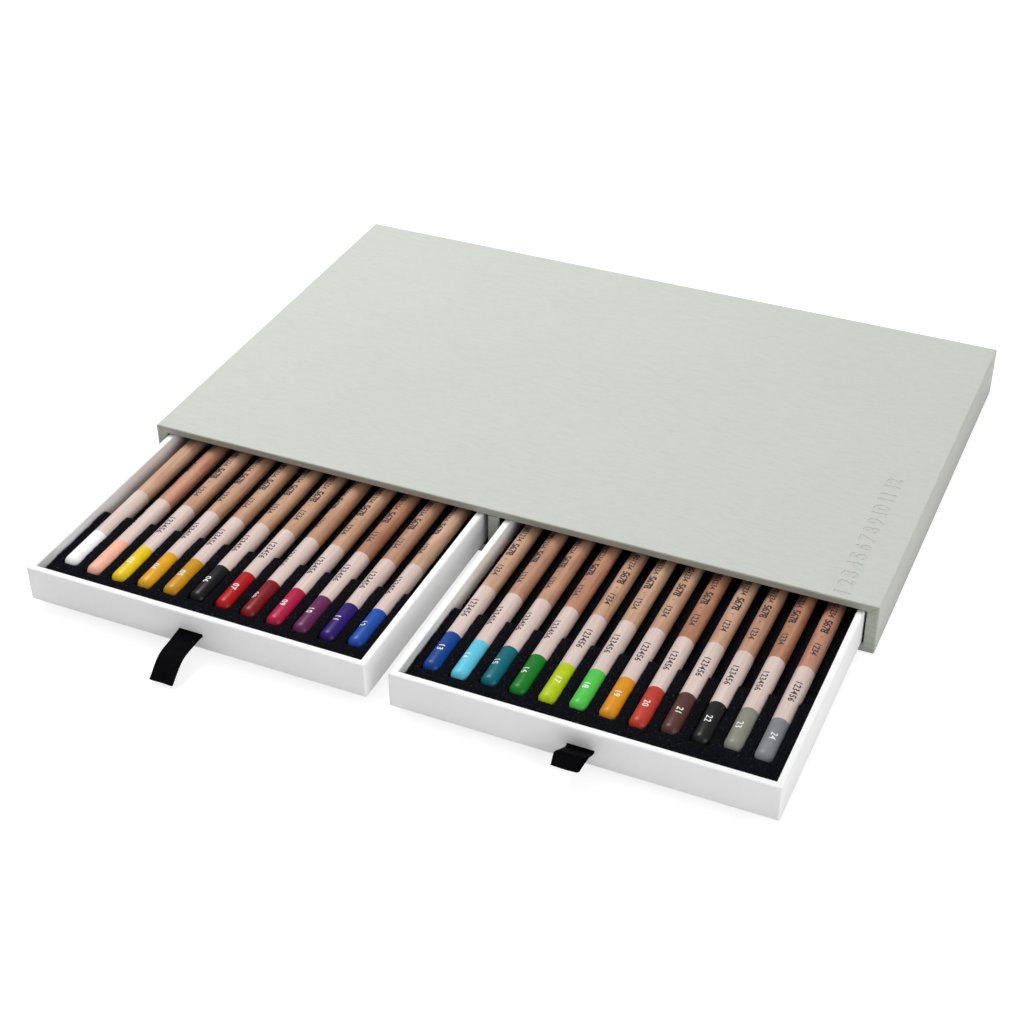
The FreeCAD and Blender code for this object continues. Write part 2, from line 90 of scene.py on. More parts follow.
class Shader:
    """A material's nodes, with short calls that add one and feed its sockets."""

    def __init__(self, name, roughness, **sockets):
        self.material = bpy.data.materials.new(name)
        self.material.use_nodes = True
        self.tree = self.material.node_tree
        self.surface = self.tree.nodes["Principled BSDF"]
        self.surface.inputs["Roughness"].default_value = roughness
        for socket, value in sockets.items():
            self.surface.inputs[socket.replace("_", " ")].default_value = value

    def feed(self, socket, value):
        """Gives a socket a value, or a link from another node."""
        if isinstance(value, bpy.types.NodeSocket):
            self.tree.links.new(value, socket)
        else:
            socket.default_value = value

    def add(self, kind, inputs=None, **settings):
        """A new node with its settings made and its inputs fed."""
        node = self.tree.nodes.new(kind)
        for name, value in settings.items():
            setattr(node, name, value)
        for socket, value in (inputs or {}).items():
            self.feed(node.inputs[socket], value)
        return node

    def place(self, stretch=(1, 1, 1)):
        """The spot on the object, in its own metres, stretched along its axes."""
        spot = self.add("ShaderNodeTexCoord").outputs["Object"]
        return self.add("ShaderNodeMapping", {"Vector": spot, "Scale": stretch}).outputs["Vector"]

    def noise(self, spot, scale, detail, roughness=0.55):
        """Soft random grain with a number of sizes per metre."""
        inputs = {"Vector": spot, "Scale": scale, "Detail": detail, "Roughness": roughness}
        return self.add("ShaderNodeTexNoise", inputs).outputs["Fac"]

    def ramp(self, value, stops):
        """A colour ramp through (position, colour) stops."""
        node = self.add("ShaderNodeValToRGB", {"Fac": value})
        elements = node.color_ramp.elements
        while len(elements) < len(stops):
            elements.new(0.5)
        for element, (position, colour) in zip(elements, stops):
            element.position = position
            element.color = colour
        return node.outputs["Color"]

    def mix(self, share, first, second):
        """The first colour with a share of the second."""
        node = self.add("ShaderNodeMix", data_type="RGBA")
        for socket, value in ((0, share), (6, first), (7, second)):
            self.feed(node.inputs[socket], value)
        return node.outputs[2]

    def sum(self, operation, first, second):
        """The outcome of one operation on two values."""
        node = self.add("ShaderNodeMath", {0: first, 1: second}, operation=operation)
        return node.outputs["Value"]

    def colour(self, value):
        """The surface's own colour."""
        self.feed(self.surface.inputs["Base Color"], value)

    def bump(self, height, distance, strength):
        """Relief in the shading, as deep as a distance."""
        node = self.add("ShaderNodeBump", {"Height": height, "Distance": distance, "Strength": strength})
        self.feed(self.surface.inputs["Normal"], node.outputs["Normal"])


def grey(value):
    return (value, value, value, 1.0)


def sleeve_paper():
    """Matt grey-green paper with a fine linen-like grain along the box."""
    shader = Shader("sleeve paper", 0.72, Specular_IOR_Level=0.35)
    grain = shader.noise(shader.place((0.12, 1, 1)), 1900, 4)
    cross = shader.noise(shader.place((1, 0.2, 0.5)), 2600, 2)
    cloud = shader.noise(shader.place(), 14, 2)
    base = shader.ramp(grain, ((0.25, srgb(182, 186, 179)), (0.5, srgb(190, 194, 187)),
                               (0.75, srgb(197, 200, 192))))
    tint = shader.ramp(cloud, ((0.3, srgb(186, 191, 184)), (0.7, srgb(195, 197, 189))))
    shader.colour(shader.mix(0.25, base, tint))
    shader.bump(shader.sum("ADD", grain, shader.sum("MULTIPLY", cross, 0.5)), 0.05 * MM, 0.5)
    return shader.material


def edge_paper():
    """The same paper where it goes over the board's cut edges: streaked along the edge, and darker with
    painted shade, as these front faces get little light above the drawers.
    """
    shader = Shader("sleeve edge paper with painted shade", 0.75, Specular_IOR_Level=0.3)
    streak = shader.noise(shader.place((0.04, 1, 1)), 1300, 4, 0.65)
    cloud = shader.noise(shader.place(), 60, 3)
    # Darker colours than the sleeve paper's: painted shade on the mouth's front faces.
    base = shader.ramp(streak, ((0.25, srgb(148, 151, 141)), (0.5, srgb(166, 169, 159)),
                                (0.78, srgb(186, 188, 179))))
    tint = shader.ramp(cloud, ((0.35, srgb(152, 156, 147)), (0.65, srgb(174, 176, 166))))
    shader.colour(shader.mix(0.35, base, tint))
    shader.bump(streak, 0.08 * MM, 0.6)
    return shader.material


def drawer_paper():
    """Smooth white paper, with faint fibres and a slight unevenness of the board below."""
    shader = Shader("drawer paper", 0.55, Specular_IOR_Level=0.4)
    fibre = shader.noise(shader.place(), 1500, 4)
    cloud = shader.noise(shader.place(), 22, 2)
    base = shader.ramp(cloud, ((0.3, srgb(237, 237, 238)), (0.7, srgb(244, 244, 243))))
    fibres = shader.ramp(fibre, ((0.3, srgb(230, 230, 231)), (0.7, srgb(248, 248, 248))))
    shader.colour(shader.mix(0.2, base, fibres))
    shader.bump(shader.sum("ADD", shader.sum("MULTIPLY", fibre, 0.12), cloud), 0.12 * MM, 0.5)
    return shader.material


def lining_paper():
    """Dark greenish paper with a faint grain, glued inside the bays, and kept near black as painted shade of
    the deep bays.
    """
    shader = Shader("lining paper with painted shade", 0.8, Specular_IOR_Level=0.25)
    grain = shader.noise(shader.place((0.2, 1, 1)), 1700, 3)
    # Near black: the paper's own dark green with painted shade of the deep bays.
    shader.colour(shader.ramp(grain, ((0.3, srgb(44, 47, 44)), (0.7, srgb(58, 62, 57)))))
    shader.bump(grain, 0.05 * MM, 0.5)
    return shader.material


def foam_material():
    """Open-cell black foam: deep pores, and a few strands that catch the light."""
    shader = Shader("black foam", 0.95, Specular_IOR_Level=0.06)
    place = shader.place()
    cells = shader.add("ShaderNodeTexVoronoi", {"Vector": place, "Scale": 1500},
                       feature="F1").outputs["Distance"]
    strands = shader.noise(place, 1250, 2, 0.6)
    base = shader.ramp(cells, ((0.1, srgb(4, 4, 7)), (0.75, srgb(15, 16, 22))))
    speck = shader.ramp(strands, ((0.64, grey(0.0)), (0.78, grey(1.0))))
    shader.colour(shader.mix(speck, base, srgb(72, 75, 82)))
    shader.bump(shader.sum("ADD", cells, strands), 0.5 * MM, 0.9)
    return shader.material


def ribbon_material():
    """Black woven ribbon with fine cross ribs, nearly matt."""
    shader = Shader("black ribbon", 0.7, Specular_IOR_Level=0.04)
    across = shader.add("ShaderNodeTexCoord").outputs["UV"]
    ribs = shader.add("ShaderNodeTexWave", {"Vector": across, "Scale": 30.0, "Distortion": 0.3},
                      wave_type="BANDS", bands_direction="Y").outputs["Fac"]
    threads = shader.noise(shader.place(), 2200, 3)
    shader.colour(shader.ramp(threads, ((0.3, srgb(2, 2, 3)), (0.7, srgb(8, 8, 12)))))
    shader.bump(shader.sum("ADD", ribs, shader.sum("MULTIPLY", threads, 0.6)), 0.12 * MM, 0.5)
    return shader.material


def halfway(first, second):
    """The colour in the middle between two."""
    return tuple((one + other) / 2 for one, other in zip(first, second))


def cedar(name, varnished, dark, light):
    """Straight-grained cedar: long fine streaks with short pores, under clear varnish or bare."""
    shader = Shader(name, 0.36 if varnished else 0.8, Specular_IOR_Level=0.45,
                    Coat_Weight=0.35 if varnished else 0.0, Coat_Roughness=0.18)
    bands = shader.noise(shader.place((1, 0.025, 1)), 700, 3, 0.6)
    pores = shader.noise(shader.place((1, 0.09, 1)), 2600, 2, 0.5)
    cloud = shader.noise(shader.place((1, 0.4, 1)), 60, 2)
    mottle = shader.noise(shader.place((1, 0.22, 1)), 240, 3, 0.6)
    base = shader.ramp(bands, ((0.28, dark), (0.52, halfway(dark, light)), (0.74, light)))
    streaked = shader.mix(shader.ramp(pores, ((0.6, grey(0.0)), (0.72, grey(0.5)))), base, dark)
    clouded = shader.mix(0.18, streaked, shader.ramp(cloud, ((0.3, dark), (0.7, light))))
    mottled = shader.ramp(mottle, ((0.32, dark), (0.5, halfway(dark, light)), (0.66, light)))
    shader.colour(shader.mix(0.4, clouded, mottled))
    shader.bump(shader.sum("ADD", bands, pores), 0.04 * MM, 0.35 if varnished else 0.9)
    return shader.material


def band_paint():
    """The pale band: thin pinkish-white paint with the grain of the wood just showing."""
    shader = Shader("pencil band", 0.38, Specular_IOR_Level=0.45, Coat_Weight=0.25, Coat_Roughness=0.2)
    grain = shader.noise(shader.place((1, 0.03, 1)), 800, 3, 0.6)
    shader.colour(shader.ramp(grain, ((0.3, srgb(206, 184, 176)), (0.7, srgb(222, 203, 195)))))
    shader.bump(grain, 0.03 * MM, 0.3)
    return shader.material


def dip_paint(name, colour):
    """A thick satin coat of one colour, with a little unevenness from dipping."""
    shader = Shader(name, 0.36, Specular_IOR_Level=0.25, Coat_Weight=0.08, Coat_Roughness=0.18)
    uneven = shader.noise(shader.place(), 260, 2)
    darker = tuple(channel * 0.88 for channel in colour[:3]) + (1.0,)
    shader.colour(shader.ramp(uneven, ((0.3, darker), (0.7, colour))))
    shader.bump(uneven, 0.04 * MM, 0.35)
    return shader.material


def pastel(name, colour):
    """A pressed pastel core: matt, chalky and grainy."""
    shader = Shader(name, 0.95, Specular_IOR_Level=0.15)
    grain = shader.noise(shader.place(), 2400, 4, 0.7)
    darker = tuple(channel * 0.75 for channel in colour[:3]) + (1.0,)
    shader.colour(shader.ramp(grain, ((0.3, darker), (0.7, colour))))
    shader.bump(grain, 0.12 * MM, 0.8)
    return shader.material


def print_ink(name, colour):
    """Printing ink, a little worn."""
    shader = Shader(name, 0.45)
    wear = shader.noise(shader.place(), 1800, 3)
    faded = tuple(channel * 0.8 + 0.03 for channel in colour[:3]) + (1.0,)
    shader.colour(shader.ramp(wear, ((0.35, colour), (0.75, faded))))
    return shader.material


# Shapes

# How far the points on a ring's sides lie from its corners, where they crowd, and how many steps lie between
NEAR_LONG = (1.2 * MM, 2.6 * MM, 4.5 * MM, 8.0 * MM, 11.9 * MM, 12.1 * MM, 20.0 * MM)
NEAR_SHORT = NEAR_LONG[:3]
SIDE_STEPS = 10


def ring(low, high, radius, near):
    """Points round a rectangle with rounded corners; each side has spots near its ends and evenly between."""
    (left, bottom), (right, top) = low, high
    corners = ((left + radius, bottom + radius, 180), (right - radius, bottom + radius, 270),
               (right - radius, top - radius, 0), (left + radius, top - radius, 90))
    arcs = [[Vector((x + radius * math.cos(angle), y + radius * math.sin(angle)))
             for angle in (math.radians(start + 90 * step / FOLD_STEPS) for step in range(FOLD_STEPS + 1))]
            for x, y, start in corners]
    points = []
    for number, arc in enumerate(arcs):
        points.extend(arc)
        first, last = arc[-1], arcs[(number + 1) % len(arcs)][0]
        side = last - first
        ends = [spot / side.length for spot in near]
        span = 1 - 2 * ends[-1]
        shares = [*ends, *(ends[-1] + span * step / SIDE_STEPS for step in range(1, SIDE_STEPS)),
                  *(1 - share for share in reversed(ends))]
        points.extend(first + side * share for share in shares)
    return points


def loft(rings, cyclic):
    """Points and faces of a surface through rings of equal counts, closed on itself or capped at both ends."""
    count, rows = len(rings[0]), len(rings)
    points = [point for one in rings for point in one]
    faces = []
    for row in range(rows if cyclic else rows - 1):
        here, there = row * count, (row + 1) % rows * count
        for spot in range(count):
            after = (spot + 1) % count
            faces.append((here + spot, here + after, there + after, there + spot))
    if not cyclic:
        faces.append(tuple(range(count)))
        faces.append(tuple((rows - 1) * count + spot for spot in reversed(range(count))))
    return points, faces


def mesh_of(name, points, faces):
    """A mesh with its faces turned outwards."""
    mesh = bpy.data.meshes.new(name)
    mesh.from_pydata(points, [], faces)
    work = bmesh.new()
    work.from_mesh(mesh)
    bmesh.ops.recalc_face_normals(work, faces=work.faces)
    work.to_mesh(mesh)
    work.free()
    return mesh


def object_of(name, mesh):
    """An object in the scene that holds a mesh, a curve, a lamp or a camera."""
    made = bpy.data.objects.new(name, mesh)
    bpy.context.scene.collection.objects.link(made)
    return made


def settled(source, name):
    """A new mesh with every modifier of an object applied; the object goes."""
    bpy.context.view_layer.update()
    graph = bpy.context.evaluated_depsgraph_get()
    mesh = bpy.data.meshes.new_from_object(source.evaluated_get(graph), depsgraph=graph)
    mesh.name = name
    bpy.data.objects.remove(source)
    return mesh


def bend(step):
    """How far a quarter round fold has gone sideways and still has to go, as shares of its radius."""
    angle = math.pi / 2 * step / FOLD_STEPS
    return 1 - math.cos(angle), 1 - math.sin(angle)


def carved(name, mesh, cutters):
    """The mesh less each cutter, which are objects and go afterwards."""
    base = object_of(f"{name}_uncut", mesh)
    for cutter in cutters:
        change = base.modifiers.new(cutter.name, "BOOLEAN")
        change.operation = "DIFFERENCE"
        change.solver = "EXACT"
        change.use_self = True
        change.object = cutter
    result = settled(base, name)
    for cutter in cutters:
        bpy.data.objects.remove(cutter)
    return result


def block(name, low, high):
    """A plain box as an object, used as a cutter."""
    points = [(x, y, z) for x in (low[0], high[0]) for y in (low[1], high[1]) for z in (low[2], high[2])]
    faces = [(0, 1, 3, 2), (4, 6, 7, 5), (0, 4, 5, 1), (2, 3, 7, 6), (0, 2, 6, 4), (1, 5, 7, 3)]
    return object_of(name, mesh_of(name, points, faces))


def shaded(mesh, angle=35):
    """Smooth shading that stays sharp over an angle in degrees."""
    mesh.shade_smooth()
    mesh.set_sharp_from_angle(angle=math.radians(angle))
    return mesh


def shown(name, mesh, body, materials, replaced):
    """A finished piece: it rides on its body, has its materials and stands in for the node it replaces."""
    piece = object_of(name, mesh)
    for material in materials:
        mesh.materials.append(material)
    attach(piece, body)
    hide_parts(replaced)
    return piece


def flattened_normals(piece):
    """Keeps the flat faces flat in the shading, so that only the rounded edges shade smoothly."""
    piece.modifiers.new("flat faces", "WEIGHTED_NORMAL").keep_sharp = True


# The height of the font's numbers as a share of its nominal size, and how close points are that become one
NUMBER_SHARE = 0.73
WELD = 0.001 * MM


def letters(name, text, height, deep, soften=0.0, spacing=1.0, bold=0.0):
    """Lettering as a closed solid, centred on the origin, that reads along +X with its top towards +Y."""
    curve = bpy.data.curves.new(name, "FONT")
    curve.body = text
    curve.size = height / NUMBER_SHARE
    curve.align_x = "CENTER"
    curve.align_y = "CENTER"
    curve.extrude = deep
    curve.bevel_depth = soften
    curve.offset = bold
    curve.bevel_resolution = 2
    curve.space_character = spacing
    curve.resolution_u = 4
    mesh = settled(object_of(name, curve), name)
    bpy.data.curves.remove(curve)
    work = bmesh.new()
    work.from_mesh(mesh)
    bmesh.ops.remove_doubles(work, verts=work.verts, dist=WELD)
    bmesh.ops.recalc_face_normals(work, faces=work.faces)
    for axis in range(2):
        reach = [vert.co[axis] for vert in work.verts]
        middle = (min(reach) + max(reach)) / 2
        for vert in work.verts:
            vert.co[axis] -= middle
    work.to_mesh(mesh)
    work.free()
    return mesh


# The sleeve: its folds, the rough edge of its mouth, how far its own paper shows behind that edge, and the
# numbers pressed into the lid

SLEEVE_CREASE = 0.7 * MM
MOUTH_CORNER = 1.0 * MM
MOUTH_RINGS = 4
SLEEVE_ROWS = 12
EDGE_ROUGH = 0.05 * MM
EDGE_ROUGH_WIDE = 2.2 * MM
MITRE_GROOVE = 0.22 * MM
# Behind this the turn-in takes the near-black lining, painted shade of the deep bay
TURN_IN_SHOWN = 1.6 * MM
# Faces turned further to the front than this take the edge paper's painted shade
SHADED_FACING_FRONT = -0.3
DIVIDER_ROWS = 12
WINDOW_SHARE = 1.2
NUMBERS_SPOT = (153 * MM, -62.5 * MM)
NUMBERS_TALL = 6.6 * MM
NUMBERS_PRESSED = 0.34 * MM
NUMBERS_OVER = 0.01 * MM
NUMBERS_SPACING = 0.95


def mark_edges(mesh, front, lined):
    """Gives the second material, the edge paper with painted shade, to the forward faces round the mouth's
    front edge, and the third, the near-black lining with painted shade, to the faces that the given test picks
    out.
    """
    for face in mesh.polygons:
        # Forward faces at the mouth's edge take the painted shade.
        if face.center.y < front + SLEEVE_CREASE and face.normal.y < SHADED_FACING_FRONT:
            face.material_index = 1
        elif lined(face.center):
            face.material_index = 2


def sleeve_wrap():
    """One paper over the outside, round the mouth's edge and in, closed at the back, with a window below."""
    low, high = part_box("sleeve_cover_paper")
    mouth_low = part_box("left_bay_liner")[0]
    wall_x = mouth_low.x + PAPER - low.x
    wall_z = mouth_low.z + PAPER - low.z
    fold_end = mouth_low.y
    crease = SLEEVE_CREASE

    def around(y, inset_x, inset_z, radius):
        points = ring((low.x + inset_x, low.z + inset_z), (high.x - inset_x, high.z - inset_z), radius,
                      NEAR_SHORT)
        return [Vector((point.x, y, point.y)) for point in points]

    def lined(spot):
        """True on the turn-in behind the edge, where the dark lining is glued over it as painted shade of the
        deep bay.
        """
        beside = min(spot.x - low.x, high.x - spot.x) > wall_x - PAPER / 2
        level = min(spot.z - low.z, high.z - spot.z) > wall_z - PAPER / 2
        return beside and level and low.y + TURN_IN_SHOWN < spot.y < fold_end

    corner_spots = len(around(low.y, 0, 0, crease)) // 4
    corner_middle = FOLD_STEPS // 2
    rings = []
    for step in range(FOLD_STEPS, -1, -1):
        inset, back = (crease * share for share in bend(step))
        rings.append(around(high.y - back, inset, inset, max(crease - inset, SHARP)))
    span = high.y - low.y - 2 * crease
    rings.extend(around(high.y - crease - span * row / SLEEVE_ROWS, 0, 0, crease)
                 for row in range(1, SLEEVE_ROWS))
    for step in range(FOLD_STEPS + 1):
        inset, back = (crease * share for share in bend(step))
        rings.append(around(low.y + back, inset, inset, max(crease - inset, SHARP)))
    for part in range(1, MOUTH_RINGS):
        share = part / MOUTH_RINGS
        inset_x = crease + (wall_x - 2 * crease) * share
        inset_z = crease + (wall_z - 2 * crease) * share
        rings.append(around(low.y, inset_x, inset_z, SHARP + (MOUTH_CORNER + crease - SHARP) * share))
        for number, point in enumerate(rings[-1]):
            point.y += EDGE_ROUGH * noise.noise(point / EDGE_ROUGH_WIDE)
            if number % corner_spots == corner_middle:
                point.y += MITRE_GROOVE
    for step in range(FOLD_STEPS, -1, -1):
        out, back = (crease * share for share in bend(step))
        rings.append(around(low.y + back, wall_x - out, wall_z - out, MOUTH_CORNER + out))
    rings.append(around(low.y + TURN_IN_SHOWN, wall_x, wall_z, MOUTH_CORNER))
    rings.append(around(fold_end, wall_x, wall_z, MOUTH_CORNER))
    for y in (fold_end, low.y + PAPER):
        rings.append(around(y, wall_x - PAPER, wall_z - PAPER, MOUTH_CORNER + PAPER))
    for y in (low.y + PAPER, high.y - PAPER):
        rings.append(around(y, PAPER, PAPER, crease - PAPER))

    sheet_low, sheet_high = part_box("sleeve_base_sheet")
    window = block("sleeve_window", (sheet_low.x - SEAM, sheet_low.y - SEAM, low.z - CUT_PAST),
                   (sheet_high.x + SEAM, sheet_high.y + SEAM, low.z + PAPER * WINDOW_SHARE))
    text = " ".join(str(number) for number in range(1, PENCILS + 1))
    numbers = object_of("pressed_numbers", letters("pressed_numbers", text, NUMBERS_TALL, 0.0, NUMBERS_PRESSED,
                                                   NUMBERS_SPACING))
    numbers.matrix_world = (Matrix.Translation((*NUMBERS_SPOT, high.z + NUMBERS_OVER))
                            @ Matrix.Rotation(math.pi / 2, 4, "Z"))
    mesh = carved("sleeve_wrap", mesh_of("sleeve_wrap", *loft(rings, False)), [window, numbers])
    mark_edges(mesh, low.y, lined)
    piece = shown("sleeve_wrap", shaded(mesh), "sleeve",
                  [SLEEVE_PAPER, SHADED_EDGE_PAPER, SHADED_LINING_PAPER], "sleeve_cover_paper")
    flattened_normals(piece)


def divider_wrap():
    """A strip of the same paper folded over the divider's front edge, with painted shade: the edge paper on
    its forward faces and the near-black lining behind.
    """
    low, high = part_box("divider_cover_paper")
    shaded_lining_front = low.y + TURN_IN_SHOWN
    outline = [(low.x, high.y), (low.x, shaded_lining_front)]
    for middle, start in ((low.x + SLEEVE_CREASE, 180), (high.x - SLEEVE_CREASE, 270)):
        for step in range(FOLD_STEPS + 1):
            angle = math.radians(start + 90 * step / FOLD_STEPS)
            outline.append((middle + SLEEVE_CREASE * math.cos(angle),
                            low.y + SLEEVE_CREASE + SLEEVE_CREASE * math.sin(angle)))
    outline.extend([(high.x, shaded_lining_front), (high.x, high.y), (high.x - PAPER, high.y),
                    (high.x - PAPER, low.y + PAPER), (low.x + PAPER, low.y + PAPER), (low.x + PAPER, high.y)])
    levels = [low.z + (high.z - low.z) * level / DIVIDER_ROWS for level in range(DIVIDER_ROWS + 1)]
    rings = [[Vector((x, y, z)) for x, y in outline] for z in levels]
    mesh = mesh_of("divider_wrap", *loft(rings, False))
    mark_edges(mesh, low.y, lambda spot: spot.y > shaded_lining_front)
    piece = shown("divider_wrap", shaded(mesh), "sleeve",
                  [SLEEVE_PAPER, SHADED_EDGE_PAPER, SHADED_LINING_PAPER], "divider_cover_paper")
    flattened_normals(piece)


# The drawers: the folds of their paper, its crumple near the upper corners, and the ribbon's slot

RIM_OUTER = 0.9 * MM
RIM_INNER = 0.6 * MM
DRAWER_FOOT = 0.5 * MM
DRAWER_CORNER = 0.9 * MM
INSIDE_CORNER = 0.35 * MM
LINING_ROWS = 3
OUTSIDE_ROWS = 6
CRUMPLE = 0.16 * MM
CRUMPLE_REACH = 5 * MM
CRUMPLE_WIDE = 1.6 * MM
CRUMPLE_PLACE = {"left": Vector((7, 0, 0)), "right": Vector((31, 0, 0))}
SLOT_HALF = 1.0 * MM
SLOT_PLAY = 0.3 * MM


def drawer_wrap(side):
    """One white paper round a tray: up from the inside, over the rim, down the outside and in underneath."""
    name = f"{side}_drawer"
    low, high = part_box(f"{name}_cover_paper")
    lining_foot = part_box(f"{name}_floor_board")[1].z
    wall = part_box(f"{name}_floor_board")[0].x + PAPER - low.x
    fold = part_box(f"{name}_base_sheet")[0].x - SEAM - low.x

    def around(inset, z, radius):
        points = ring((low.x + inset, low.y + inset), (high.x - inset, high.y - inset), radius, NEAR_LONG)
        return [Vector((point.x, point.y, z)) for point in points]

    def radius_at(inset):
        return max(DRAWER_CORNER - inset, SHARP)

    lining_tall = high.z - RIM_INNER - lining_foot
    rings = [around(wall, lining_foot + lining_tall * row / LINING_ROWS, INSIDE_CORNER)
             for row in range(LINING_ROWS)]
    for step in range(FOLD_STEPS + 1):
        back, down = (RIM_INNER * share for share in bend(step))
        rings.append(around(wall - back, high.z - down, INSIDE_CORNER))
    for step in range(FOLD_STEPS, -1, -1):
        inset, down = (RIM_OUTER * share for share in bend(step))
        rings.append(around(inset, high.z - down, radius_at(inset)))
    span = high.z - RIM_OUTER - low.z - DRAWER_FOOT
    rings.extend(around(0, high.z - RIM_OUTER - span * row / OUTSIDE_ROWS, DRAWER_CORNER)
                 for row in range(1, OUTSIDE_ROWS))
    for step in range(FOLD_STEPS + 1):
        inset, up = (DRAWER_FOOT * share for share in bend(step))
        rings.append(around(inset, low.z + up, radius_at(inset)))
    for z in (low.z, low.z + PAPER):
        rings.append(around(fold, z, SHARP))
    for z in (low.z + PAPER, high.z - PAPER):
        rings.append(around(PAPER, z, DRAWER_CORNER - PAPER))
    for z in (high.z - PAPER, lining_foot):
        rings.append(around(wall - PAPER, z, INSIDE_CORNER))
    points, faces = loft(rings, True)

    for spot in points:
        to_corner = Vector((min(spot.x - low.x, high.x - spot.x), min(spot.y - low.y, high.y - spot.y),
                            high.z - spot.z)).length
        share = max(0, 1 - to_corner / CRUMPLE_REACH)
        spot += noise.noise_vector(spot / CRUMPLE_WIDE + CRUMPLE_PLACE[side]) * CRUMPLE * share

    ribbon_low, ribbon_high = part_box(f"{side}_pull_ribbon")
    middle_z = (low.z + high.z) / 2 - RIBBON_DROP
    slot = block(f"{name}_slot", (ribbon_low.x - SLOT_PLAY, low.y - CUT_PAST, middle_z - SLOT_HALF),
                 (ribbon_high.x + SLOT_PLAY, low.y + wall + CUT_PAST / 2, middle_z + SLOT_HALF))
    mesh = carved(f"{name}_wrap", mesh_of(f"{name}_wrap", points, faces), [slot])
    piece = shown(f"{name}_wrap", shaded(mesh), name, [DRAWER_PAPER], f"{name}_cover_paper")
    flattened_normals(piece)


# The foam: for each piece the size of its cells and how deep its surface is broken up, and then the lips that
# close round the pencils

FOAM_PIECES = (
    ("base", 0.9 * MM, 0.5 * MM),
    ("front_rack", 0.6 * MM, 0.6 * MM),
    ("rear_rack", 0.6 * MM, 0.6 * MM),
)
WAVES_WIDE = 5.5 * MM
PITS_WIDE = 1.5 * MM
PITS_SHARE = 0.8
FOAM_LEVEL = 0.72
LIP_REACH = 2.4 * MM
LIP_GAP = 0.06 * MM
LIP_WAVE = 0.14 * MM
LIP_WAVE_LONG = 6 * MM
LIP_WAVE_WIDE = 4 * MM
LIP_WAVE_APART = 9
LIP_CALM_SHARE = 0.25
LIP_FADE = 2.5


def close_round_pencils(side, mesh):
    """Draws the foam in round the pencils, so that its lips hug the barrels and their rounded ends."""
    rods = [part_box(f"{side}_pencil_{number + 1:02d}") for number in range(PENCILS)]
    first_x = (rods[0][0].x + rods[0][1].x) / 2
    pitch = rods[1][0].x - rods[0][0].x
    for vert in mesh.vertices:
        number = min(max(round((vert.co.x - first_x) / pitch), 0), PENCILS - 1)
        low, high = rods[number]
        middle, radius = (low + high) / 2, (high.x - low.x) / 2
        # the nearest spot of the rod that lies END_ROUND inside the rounded pencil
        across = Vector((vert.co.x - middle.x, 0, vert.co.z - middle.z))
        core = across.normalized() * min(across.length, radius - END_ROUND)
        nearest = Vector((middle.x, max(vert.co.y, low.y + END_ROUND), middle.z)) + core
        away = vert.co - nearest
        share = (away.length - END_ROUND) / LIP_REACH
        if share > 1 or vert.co.y > high.y:
            continue
        wave = 0.5 + noise.noise(Vector((number * LIP_WAVE_APART, vert.co.y / LIP_WAVE_LONG,
                                         across.x / LIP_WAVE_WIDE)))
        calm = min(max((vert.co.y - low.y) / LIP_WAVE_LONG, LIP_CALM_SHARE), 1)
        gap = LIP_GAP + LIP_WAVE * calm * min(max(wave, 0), 1)
        away.length = END_ROUND + gap + (LIP_REACH - gap) * max(share, 0) ** LIP_FADE
        vert.co = nearest + away


def foam_piece(side, part, cell, deep):
    """A foam piece with its faces broken up into soft, uneven cells."""
    node = f"{side}_foam_{part}"
    rough = object_of(f"{node}_rough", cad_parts[node].data.copy())
    rough.data.materials.clear()
    rough.modifiers.new("cells", "REMESH")
    rough.modifiers["cells"].mode = "VOXEL"
    rough.modifiers["cells"].voxel_size = cell
    for label, size, strength in (("waves", WAVES_WIDE, deep), ("pits", PITS_WIDE, deep * PITS_SHARE)):
        texture = bpy.data.textures.new(f"{node}_{label}", "CLOUDS")
        texture.noise_scale = size
        texture.noise_depth = 1
        change = rough.modifiers.new(label, "DISPLACE")
        change.texture = texture
        change.texture_coords = "LOCAL"
        change.strength = strength
        change.mid_level = FOAM_LEVEL
    mesh = settled(rough, f"{node}_soft")
    close_round_pencils(side, mesh)
    mesh.shade_smooth()
    piece = shown(f"{node}_soft", mesh, f"{side}_drawer", [FOAM], node)


# The ribbons: their ways are in millimetres and degrees, with y and z from the drawer's front and the slot

LAYER_HALF = 0.45
THROUGH_WALL = 2.95
TAIL_BEND = 0.6
TAIL_LONG = 2.8
BEHIND_WALL = 3.55
LINE_STEP = 0.6
ARC_STEP = 6
TAB_MOVES = (("arc", 4.0, 8), ("line", 10.8, 0), ("arc", 12.0, 36), ("line", 6.0, 0), ("arc", LAYER_HALF, 180),
             ("line", 6.0, 0), ("arc", 11.1, -36), ("line", 10.8, 0), ("arc", 3.1, -8))
LOOP_CORNERS = ((0, LAYER_HALF), (-1.8, LAYER_HALF), (-8.3, 4.0), (-10.1, -4.0), (-2.0, -LAYER_HALF),
                (0, -LAYER_HALF))
LOOP_BENDS = (3.0, 0.8, 0.9, 3.0)
RIBBON_SKEW = {"left": 0.35 * MM, "right": 0.9 * MM}
RIBBON_DRIFT = {"left": -1.2 * MM, "right": -2.3 * MM}
RIPPLE = 0.35 * MM
RIPPLE_WIDE = 6 * MM
SELVEDGE_SHARE = 0.55
RIBBON_COLUMNS = 12
WEAVE_LONG = 10


